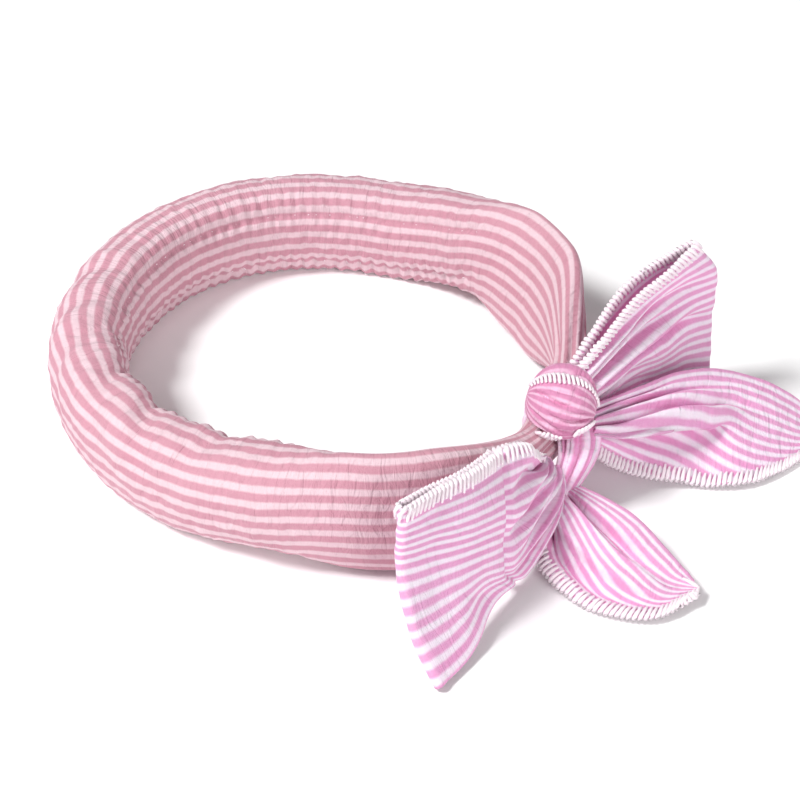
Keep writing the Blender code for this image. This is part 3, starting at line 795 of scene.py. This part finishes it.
def knot_wrap():
    rows, count = 64, 168
    verts = []
    for i in range(1, rows):
        theta = math.pi * i / rows
        for j in range(count):
            phi = -2.2 + 2 * math.pi * j / count
            verts.append(away_from_strap(wrap_point(phi, theta), 1.3))
    verts.append(WRAP - WRAP_RUN * WRAP_SIZE[0])
    verts.append(WRAP + WRAP_RUN * WRAP_SIZE[0])
    faces = []
    uv = []

    def at(i, j):
        return (i * 0.55, j * 2 * math.pi / count * 11.5)

    for i in range(rows - 2):
        for j in range(count):
            a = i * count + j
            b = i * count + (j + 1) % count
            faces.append((a, b, b + count, a + count))
            uv += [at(i, j), at(i, j + 1), at(i + 1, j + 1), at(i + 1, j)]
    first = (rows - 1) * count
    far = (rows - 2) * count
    for j in range(count):
        faces.append((first, (j + 1) % count, j))
        uv += [at(-1, j + 0.5), at(0, j + 1), at(0, j)]
        faces.append((first + 1, far + j, far + (j + 1) % count))
        uv += [at(rows - 1, j + 0.5), at(rows - 2, j), at(rows - 2, j + 1)]
    obj = make_mesh("knot_turn", verts, faces)
    give_uv(obj, uv)
    outward(obj)
    # The knot's cloth takes the darker copy of the bow cotton, which is painted shade.
    obj.data.materials.append(knot_painted_shade_cotton)
    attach(obj, "tied_front")
    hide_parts("knot_wrap")
    return obj


def knot_edging():
    """Overlocked edge that lies over the knot along the wrap's rim, and two short bits of
    the same edge that show below it."""
    paths = []
    radii = []
    for theta in np.linspace(0.30, 2.75, 20):
        path = []
        reach_in = 0.40 - 0.26 * float(ease(theta, 1.1, 2.3))
        for k in range(5):
            f = k / 4
            path.append(wrap_point(WRAP_EDGE + 0.02 - reach_in * f, theta + 0.10 * f, 0.45))
        paths.append(path)
        radii.append([0.55, 0.55, 0.50, 0.46, 0.38])
    rim = [wrap_point(WRAP_EDGE + 0.05, theta, 0.5) for theta in np.linspace(0.25, 2.85, 30)]
    paths.append(rim)
    radii.append([0.5] * len(rim))
    for a, b, count in (((-0.85, 2.2), (-0.55, 2.75), 6), ((-1.35, 1.2), (-1.2, 1.75), 6)):
        for f in np.linspace(0, 1, count):
            phi = a[0] + (b[0] - a[0]) * f
            theta = a[1] + (b[1] - a[1]) * f
            path = [wrap_point(phi + d, theta + d * 0.4, 0.7) for d in (-0.14, -0.05, 0.05, 0.14)]
            paths.append(path)
            radii.append([0.5, 0.62, 0.62, 0.5])
    verts, faces = tubes(paths, radii, 8)
    obj = make_mesh("knot_overlock", verts, faces)
    outward(obj)
    obj.data.materials.append(thread)
    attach(obj, "tied_front")
    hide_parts("knot_edging")
    return obj


knot_strap()
knot_wrap()
knot_edging()


# ------------------------------------------------------------------ bow
BOW_WIDTH = 55.0
FOLD_GAP = 3.4
UNDER_GAP = 2.2
FLOOR_CLEAR = 0.8


def catmull(points, at):
    """Smooth curve through evenly numbered points, read at the given numbers."""
    p = np.concatenate([2 * points[:1] - points[1:2], points, 2 * points[-1:] - points[-2:-1]])
    k = np.clip(np.floor(at).astype(int), 0, len(points) - 2)
    f = (at - k).reshape((-1,) + (1,) * (points.ndim - 1))
    a, b, c, d = p[k], p[k + 1], p[k + 2], p[k + 3]
    return 0.5 * (2 * b + (c - a) * f + (2 * a - 5 * b + 4 * c - d) * f ** 2
                  + (3 * b - a - 3 * c + d) * f ** 3)


def even_steps(net, rows):
    """Station numbers that step evenly along the cloth."""
    fine = np.linspace(0, net.shape[1] - 1, 200)
    lines = catmull(net.transpose(1, 0, 2), fine)
    run = np.linalg.norm(np.diff(lines, axis=0), axis=2).mean(axis=1)
    run = np.concatenate([[0.0], np.cumsum(run)])
    return np.interp(np.linspace(0, run[-1], rows), run, fine), float(run[-1])


def drape(lines, rows, place):
    """Cloth through guide lines that run from the knot outwards. place says how far across
    each row's points lie, from 0 at the first line to 1 at the last."""
    net = np.array(lines, dtype=float)
    steps, length = even_steps(net, rows)
    along = catmull(net.transpose(1, 0, 2), steps)
    grid = np.array([catmull(along[i], place[i] * (len(lines) - 1)) for i in range(rows)])
    world = KNOT + grid[..., :1] * VIEW_RIGHT + grid[..., 1:2] * VIEW_UP + grid[..., 2:] * VIEW_FRONT
    return world, length


def grid_normals(grid, toward=VIEW_FRONT):
    out = unit(np.cross(np.gradient(grid, axis=0), np.gradient(grid, axis=1)))
    flip = np.where((out @ toward) < 0, -1.0, 1.0)
    return out * flip[..., None]


def even_normals(grid, toward=VIEW_FRONT):
    """Outward directions of a draped front, all on one side, softened between rows."""
    out = unit(np.cross(np.gradient(grid, axis=0), np.gradient(grid, axis=1)))
    if (out @ toward).mean() < 0:
        out = -out
    for _ in range(6):
        out[1:-1] = out[1:-1] * 0.5 + (out[:-2] + out[2:]) * 0.25
        out[:, 1:-1] = out[:, 1:-1] * 0.5 + (out[:, :-2] + out[:, 2:]) * 0.25
    return unit(out)


def folds(data, rows, across):
    """How far the cloth stands in or out. A crease runs out of the knot: its place there and
    at its end, where it starts and ends, its depth and its width. A swell is a soft hill or
    hollow, and a bend is a sharp line across the strip."""
    u = np.linspace(0, 1, rows)[:, None]
    v = across[None, :]
    push = np.zeros((rows, len(across)))
    for near, far, begin, end, deep, wide in data["creases"]:
        f = np.clip((u - begin) / (end - begin), 0, 1)
        middle = near + (far - near) * f
        live = ease(u, begin - 0.06, begin + 0.04) * (1 - ease(u, begin + (end - begin) * 0.35, end))
        side = v - middle
        width = wide * (0.7 + 0.8 * f)
        push -= deep * live * np.exp(-(side / width) ** 2)
        push += 0.5 * deep * live * np.exp(-((side - 2.0 * width) / (1.3 * width)) ** 2)
    for swell, at_u, at_v, size_u, size_v in data["swells"]:
        push += swell * np.exp(-((u - at_u) / size_u) ** 2 - ((v - at_v) / size_v) ** 2)
    for deep, at_u, slant, size in data["bends"]:
        line = u - at_u - slant * (v - 0.5)
        push -= deep * np.exp(-(line / size) ** 2)
    return push


def fine_crinkle(rows, cols, amount):
    """Small soft unevenness of pressed cotton, the same on every run."""
    field = rng.normal(0, 1, (rows, cols))
    for _ in range(5):
        field[1:-1] = (field[:-2] + 2 * field[1:-1] + field[2:]) / 4
        field[:, 1:-1] = (field[:, :-2] + 2 * field[:, 1:-1] + field[:, 2:]) / 4
    return field / np.abs(field).max() * amount


def sheet_object(name, grid, u, v):
    """Cotton of even thickness over a grid, with its cloth map in millimetres."""
    rows, cols = grid.shape[:2]
    faces = [(i * cols + j, (i + 1) * cols + j, (i + 1) * cols + j + 1, i * cols + j + 1)
             for i in range(rows - 1) for j in range(cols - 1)]
    obj = make_mesh(name, grid, faces)
    uv = []
    for i in range(rows - 1):
        for j in range(cols - 1):
            uv += [(u[i], v[i, j]), (u[i + 1], v[i + 1, j]), (u[i + 1], v[i + 1, j + 1]),
                   (u[i], v[i, j + 1])]
    give_uv(obj, uv)
    apply_modifier(obj, "SOLIDIFY", thickness=COTTON * MM, offset=0.0)
    outward(obj)
    obj.data.materials.append(bow_cotton)
    return obj


def across_the_neck(obj):
    """The lobe's placement is baked into its mesh."""
    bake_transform(obj)
    return obj


def overlock(name, grid, stretches, node_name, wide=3.5, pitch=1.7):
    """Overlock stitches that wrap over a cloth's edge: slanted threads on both faces, closed
    round the edge. A stretch is a list of rows, columns and steps that lead inwards."""
    rows, cols = grid.shape[:2]
    normal = grid_normals(grid)
    paths = []
    radii = []
    for stretch in stretches:
        edge = np.array([grid[i, j] for i, j, _, _ in stretch])
        run = np.concatenate([[0], np.cumsum(np.linalg.norm(np.diff(edge, axis=0), axis=1))])
        for want in np.linspace(0.6, run[-1] - 0.6, max(2, int(run[-1] / pitch))):
            k = int(round(float(np.interp(want, run, np.arange(len(stretch))))))
            i, j, di, dj = stretch[k]
            lead = unit(edge[min(k + 1, len(edge) - 1)] - edge[max(k - 1, 0)])
            near = edge[k] + lead * (want - run[k])
            jitter = rng.uniform(-0.18, 0.18, 2)
            steps = [(np.zeros(3), normal[i, j])]
            a, b = i, j
            gone = 0.0
            for far in (wide * 0.5, wide * (1 + jitter[0] * 0.5)):
                while gone < far and 0 <= a + di < rows and 0 <= b + dj < cols:
                    gone += np.linalg.norm(grid[a + di, b + dj] - grid[a, b])
                    a += di
                    b += dj
                steps.append((grid[a, b] - edge[k], normal[a, b]))
            inward = unit(steps[1][0])
            if not np.isfinite(inward).all() or np.linalg.norm(steps[1][0]) < 0.3:
                continue
            face = COTTON / 2 + 0.30
            legs = {}
            for side in (1, -1):
                legs[side] = [near + offset + n * side * face + lead * (slant + jitter[1]) * side
                              for (offset, n), slant in zip(steps[::-1], (0.95, 0.5, 0.1))]
            path = legs[1] + [near - inward * 0.55] + legs[-1][::-1]
            paths.append(path)
            radii.append([0.40, 0.62, 0.70, 0.74, 0.70, 0.62, 0.40])
    verts, faces = tubes(paths, radii, 6)
    obj = make_mesh(name, verts, faces)
    outward(obj)
    obj.data.materials.append(thread)
    across_the_neck(obj)
    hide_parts(node_name)
    return obj


# Guide lines from the folded edge to the stitched edge, each from the knot outwards.
LOOPS = {
    "lower_loop": dict(
        lines=[
            [(-3, -22, 2), (-2.4, -29, 4), (-4.7, -37, 8), (-14, -51, 16), (-25, -59, 27),
             (-32, -73, 37), (-40.6, -80.7, 45)],
            [(-4.3, -20.5, 3), (-3.6, -27, 6), (-8, -36, 11), (-18.3, -48, 21),
             (-29.8, -51.5, 33), (-39.5, -59, 42), (-48, -63, 49)],
            [(-6, -19, 5), (-6, -23.5, 9), (-12.8, -32, 15), (-19.4, -37.7, 25),
             (-30.5, -40.5, 37), (-42.7, -44.5, 47), (-51.5, -46.4, 52)],
            [(-8.5, -17, 5), (-8.4, -20.7, 11), (-13, -23, 19), (-20, -26.8, 29),
             (-30.6, -31, 40), (-42.7, -35, 50), (-51.3, -37.6, 55)],
            [(-9, -16, 6), (-12.4, -15.7, 14), (-16, -12.3, 21), (-22.2, -13.4, 28),
             (-32.2, -19.5, 40), (-42.8, -24.7, 51), (-50.4, -28.8, 58)]],
        gap=4.2, widest=0.55,
        creases=[(0.64, 0.42, 0.0, 0.55, 5.0, 0.05), (0.36, 0.26, 0.0, 0.48, 4.6, 0.05),
                 (0.88, 0.74, 0.0, 0.48, 4.0, 0.05), (0.14, 0.16, 0.0, 0.60, 3.0, 0.05),
                 (0.76, 0.60, 0.0, 0.36, 2.4, 0.03), (0.50, 0.36, 0.0, 0.34, 2.4, 0.03)],
        swells=[(1.8, 0.66, 0.45, 0.14, 0.40), (-1.0, 0.86, 0.55, 0.08, 0.5),
                (1.0, 0.80, 0.16, 0.10, 0.12), (-1.3, 0.66, 0.12, 0.10, 0.08)],
        bends=[(1.9, 0.45, -0.05, 0.02)]),
    "upper_loop": dict(
        lines=[
            [(6.2, -2.2, -10), (14.7, 1.2, -20), (25.3, 5.3, -31), (34.3, 7.7, -41),
             (43.2, 10.2, -49), (51.7, 10.9, -55)],
            [(4.9, -0.5, -8), (13, 4, -16), (23.3, 11, -25), (33.3, 15.9, -34),
             (42, 20.8, -41), (51, 23.4, -47)],
            [(3, 1.7, -6), (11, 8.6, -12), (20.3, 16.1, -19), (30.4, 23.2, -26),
             (40.2, 29.9, -33), (50.6, 33.8, -39)],
            [(1.2, 4, -4), (7.2, 10.8, -8), (16.8, 21.1, -14), (26.7, 30.5, -20),
             (38.4, 38.2, -25), (49.5, 43.2, -29)],
            [(-0.6, 5.6, -3), (2.9, 11.3, -5), (12.2, 22, -8), (22.3, 33.5, -12),
             (33.6, 42.8, -16), (41.5, 50.6, -20)]],
        gap=6.6, widest=0.72,
        creases=[(0.48, 0.40, 0.0, 1.1, 8.5, 0.035), (0.74, 0.72, 0.0, 0.90, 5.6, 0.032),
                 (0.26, 0.26, 0.0, 0.60, 3.6, 0.045), (0.62, 0.60, 0.05, 0.95, 2.6, 0.028),
                 (0.88, 0.86, 0.0, 0.60, 2.4, 0.03), (0.12, 0.14, 0.0, 0.60, 2.4, 0.04)],
        swells=[(1.2, 0.75, 0.60, 0.12, 0.08), (-1.2, 0.80, 0.70, 0.12, 0.05),
                (1.2, 0.62, 0.30, 0.20, 0.12)],
        bends=[]),
}


def loop(name, data):
    rows, cols, turn_rows = 88, 66, 6
    across = np.linspace(0, 1, cols)
    front, length = drape(data["lines"], rows, np.repeat(across[None, :], rows, axis=0))
    out = even_normals(front)
    push = folds(data, rows, across) + fine_crinkle(rows, cols, 0.35)
    front = front + out * push[..., None]
    run = unit(np.gradient(front, axis=0))
    grid = [front[i] for i in range(rows)]
    r = FOLD_GAP / 2
    for k in range(1, turn_rows):
        angle = math.pi * k / turn_rows
        grid.append(front[-1] - out[-1] * r * (1 - math.cos(angle))
                    + run[-1] * r * math.sin(angle))
    power = math.log(0.5) / math.log(data["widest"])
    for i in range(rows - 1, -1, -1):
        spread = math.sin(math.pi * (i / (rows - 1)) ** power) ** 0.8 if 0 < i < rows - 1 else 0.0
        gap = FOLD_GAP + (data["gap"] - FOLD_GAP) * spread
        grid.append(front[i] - out[i] * gap)
    grid = np.array(grid)
    grid[..., 2] = np.maximum(grid[..., 2], FLOOR_CLEAR)
    u = np.linspace(0, 2 * length, len(grid))
    v = np.repeat(across[None, :] * BOW_WIDTH, len(grid), axis=0)
    obj = sheet_object(name + "_cloth", grid, u, v)
    across_the_neck(obj)
    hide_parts(name)
    edge = [(i, cols - 1, 0, -1) for i in range(4, len(grid) - 4)]
    rim = overlock(name + "_overlock", grid, [edge],
                   name + "_edging")


for loop_name, loop_data in LOOPS.items():
    loop(loop_name, loop_data)

# The strip's ends are cut on a slant, so a tail narrows and its stitched edge is its end.
TAILS = {
    "right_tail": dict(
        lines=[
            [(7.3, -1, -4), (16.6, 2.3, -12), (27.4, 6.1, -21), (39.1, 10.1, -30),
             (53.3, 10.9, -38), (68, 7.5, -44), (80.9, 1.2, -48), (86.5, -5.5, -46)],
            [(7.4, -4.4, -2), (16.3, -1.6, -9), (26.9, 1.2, -17), (39, 4.1, -25),
             (52.5, 4.1, -33), (66.5, 0, -39), (80, -4.8, -44), (87, -7.5, -44)],
            [(7.4, -7.7, 0), (15.8, -7.2, -5), (26.1, -5, -11), (37.9, -2.8, -18),
             (51.3, -2.9, -26), (65.4, -7.6, -33), (79, -10.1, -39), (87, -9, -42)],
            [(7.6, -11.6, -1), (15.5, -13.4, -7), (25.9, -14.2, -14), (38.2, -13.2, -20),
             (50.4, -13.9, -24), (64.1, -15.7, -28), (78.2, -14.7, -35), (86.8, -10.3, -40)],
            [(7.8, -15, -3), (14.6, -19.7, -9), (25.5, -22.8, -15), (37.4, -24, -18),
             (49, -25.5, -19), (62.7, -24.2, -22), (77.1, -18.4, -30), (86, -11.5, -38)]],
        narrows=0.50, under=0.16, laps=[(0.58, 0.12, 4.2, 0.50, 0.64)], ridges=[],
        creases=[(0.20, 0.14, 0.0, 0.70, 3.4, 0.035), (0.36, 0.32, 0.0, 0.85, 3.8, 0.035),
                 (0.48, 0.45, 0.0, 0.55, 2.4, 0.03), (0.72, 0.78, 0.0, 0.50, 2.0, 0.04),
                 (0.08, 0.06, 0.0, 0.50, 2.0, 0.03)],
        swells=[(1.5, 0.40, 0.40, 0.16, 0.14), (-1.0, 0.66, 0.50, 0.10, 0.25),
                (0.8, 0.75, 0.25, 0.12, 0.15)],
        bends=[]),
    "lower_tail": dict(
        lines=[
            [(-0.5, -24.5, -8), (4.6, -26.6, -3), (12.1, -30.4, 1), (19.5, -35.3, 5),
             (26.1, -42.4, 9), (32.1, -49.5, 13), (36.3, -54.5, 17)],
            [(-1.8, -26.5, -6), (2.2, -30, 0), (7.8, -34.8, 4), (14, -40.5, 8),
             (20.5, -47, 12), (28.7, -53, 15.5), (36.6, -55.2, 17.5)],
            [(-2.7, -28.7, -5), (-0.6, -33.5, 2), (2.9, -39.1, 6), (8, -45.5, 10),
             (14.5, -51.7, 15), (25, -57, 19), (36.8, -56, 18)],
            [(-4.2, -31, -5), (-5.2, -38, 3), (-3.7, -44, 8), (2.2, -51, 13),
             (10, -57, 19), (23.8, -60.4, 22), (36.6, -56.6, 18.5)],
            [(-5.6, -33.5, -4), (-9.9, -42.4, 4), (-10.3, -48.7, 10), (-3.7, -56.3, 17),
             (6, -61.7, 22.5), (22.5, -63.4, 25), (36, -57.6, 20)]],
        narrows=0.45, under=0.34, laps=[], ridges=[(0.40, 0.36, 0.68, 0.55, 4.0, 0.95)],
        creases=[(0.30, 0.24, 0.0, 0.95, 4.8, 0.06), (0.82, 0.78, 0.0, 0.85, 3.2, 0.05)],
        swells=[(1.0, 0.45, 0.18, 0.30, 0.12), (-1.0, 0.30, 0.34, 0.30, 0.08)],
        bends=[]),
}


def tail(name, data):
    rows, cols = 90, 72
    across = np.linspace(0, 1, cols)
    u = np.linspace(0, 1, rows)[:, None]
    place = np.repeat(across[None, :], rows, axis=0)
    push = folds(data, rows, across) + fine_crinkle(rows, cols, 0.3)
    for at, reach_by, deep, holds, gone in data["laps"]:
        # The cloth doubles back on itself, so that one part laps over the next.
        lapped = np.interp(across, [0, at - reach_by / 2, at + reach_by / 2, 1],
                           [0, at + reach_by / 2, at - reach_by / 2, 1])
        live = 1 - ease(u, holds, gone)
        place = place + (lapped[None, :] - place) * live
        push -= deep * live * ease(across, at - reach_by / 2, at + reach_by / 2)[None, :] \
            * (1 - 0.5 * ease(across, at + 0.1, 1.0))[None, :]
    for near_from, far_from, near_to, far_to, high, gone in data["ridges"]:
        low_side = near_from + (far_from - near_from) * u
        high_side = near_to + (far_to - near_to) * u
        shelf = ease(across[None, :] - low_side, 0.0, 0.035) \
            * (1 - ease(across[None, :] - high_side, 0.0, 0.06))
        push += high * shelf * (1 - ease(u, gone - 0.35, gone))
    grid, length = drape(data["lines"], rows, place)
    straight, _ = drape(data["lines"], rows, np.repeat(across[None, :], rows, axis=0))
    out = even_normals(straight)
    grid = grid + out * push[..., None]
    grid[..., 2] = np.maximum(grid[..., 2], FLOOR_CLEAR)
    left_wide = BOW_WIDTH * (1 - data["narrows"] * u)
    v = across[None, :] * left_wide

    # The upper edge is a soft fold, and the cloth goes on beneath it.
    beneath = max(2, int(data["under"] * cols))
    away = unit(grid[:, 0] - grid[:, 2])
    turned = []
    for j in range(beneath, 0, -1):
        gap = UNDER_GAP * (1 + 0.5 * j / beneath)
        turned.append(grid[:, j] - out[:, j] * gap)
    for k in range(1, 6):
        angle = math.pi * (1 - k / 6)
        turned.append(grid[:, 0] - out[:, 0] * UNDER_GAP / 2 * (1 - math.cos(angle))
                      + away * UNDER_GAP / 2 * math.sin(angle))
    turned = np.array(turned).transpose(1, 0, 2)
    behind = np.concatenate([-v[:, beneath:0:-1] - 3.0, np.repeat(-2.5 * np.linspace(1, 0.2, 5)[None, :],
                                                                  rows, axis=0)], axis=1)
    grid = np.concatenate([turned, grid], axis=1)
    v = np.concatenate([behind, v], axis=1)
    grid[..., 2] = np.maximum(grid[..., 2], FLOOR_CLEAR)
    last = grid.shape[1] - 1
    obj = sheet_object(name + "_cloth", grid, u[:, 0] * length, v)
    across_the_neck(obj)
    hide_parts(name)
    side = [(i, last, 0, -1) for i in range(4, rows)]
    end = [(rows - 1, j, -1, 0) for j in range(last - 3, last - cols + 1, -3)]
    rim = overlock(name + "_overlock", grid, [side, end],
                   name + "_edging")


for tail_name, tail_data in TAILS.items():
    tail(tail_name, tail_data)


# ------------------------------------------------------------------ stage, light, camera
def white_floor():
    bpy.ops.mesh.primitive_plane_add(size=6.0, location=(0, 0, 0))
    floor = bpy.context.object
    floor.name = "floor"
    floor.select_set(False)
    mat, tree, shader = new_material("matt_white_paper", 0.95, 0.0, "FFFFFF")
    shader.inputs["Base Color"].default_value = linear("FFFFFF")
    floor.data.materials.append(mat)


def soft_box(name, place, size, watts):
    lamp = bpy.data.lights.new(name, "AREA")
    lamp.shape = "SQUARE"
    lamp.size = size
    lamp.energy = watts
    obj = bpy.data.objects.new(name, lamp)
    obj.location = place
    obj.rotation_euler = Vector(place).to_track_quat("Z", "Y").to_euler()
    bpy.context.scene.collection.objects.link(obj)


CAMERA_DISTANCE = 0.6173


def camera():
    back = Vector(VIEW_FRONT)
    target = Vector((-0.0024, 0.0004, 0.017))
    data = bpy.data.cameras.new("camera")
    data.lens = 85.0
    data.sensor_width = 36.0
    obj = bpy.data.objects.new("camera", data)
    obj.location = target + back * CAMERA_DISTANCE
    obj.rotation_euler = (-back).to_track_quat("-Z", "Y").to_euler()
    bpy.context.scene.collection.objects.link(obj)
    bpy.context.scene.camera = obj


white_floor()
soft_box("key_light", (-0.75, 0.95, 1.6), 0.5, 38.0)
soft_box("fill_light", (-1.1, -1.4, 0.8), 0.9, 17.0)
world = bpy.data.worlds.new("studio")
world.use_nodes = True
world.node_tree.nodes["Background"].inputs[0].default_value = (1.0, 1.0, 1.0, 1.0)
world.node_tree.nodes["Background"].inputs[1].default_value = 0.30
bpy.context.scene.world = world
bpy.context.scene.view_settings.view_transform = "Standard"
camera()
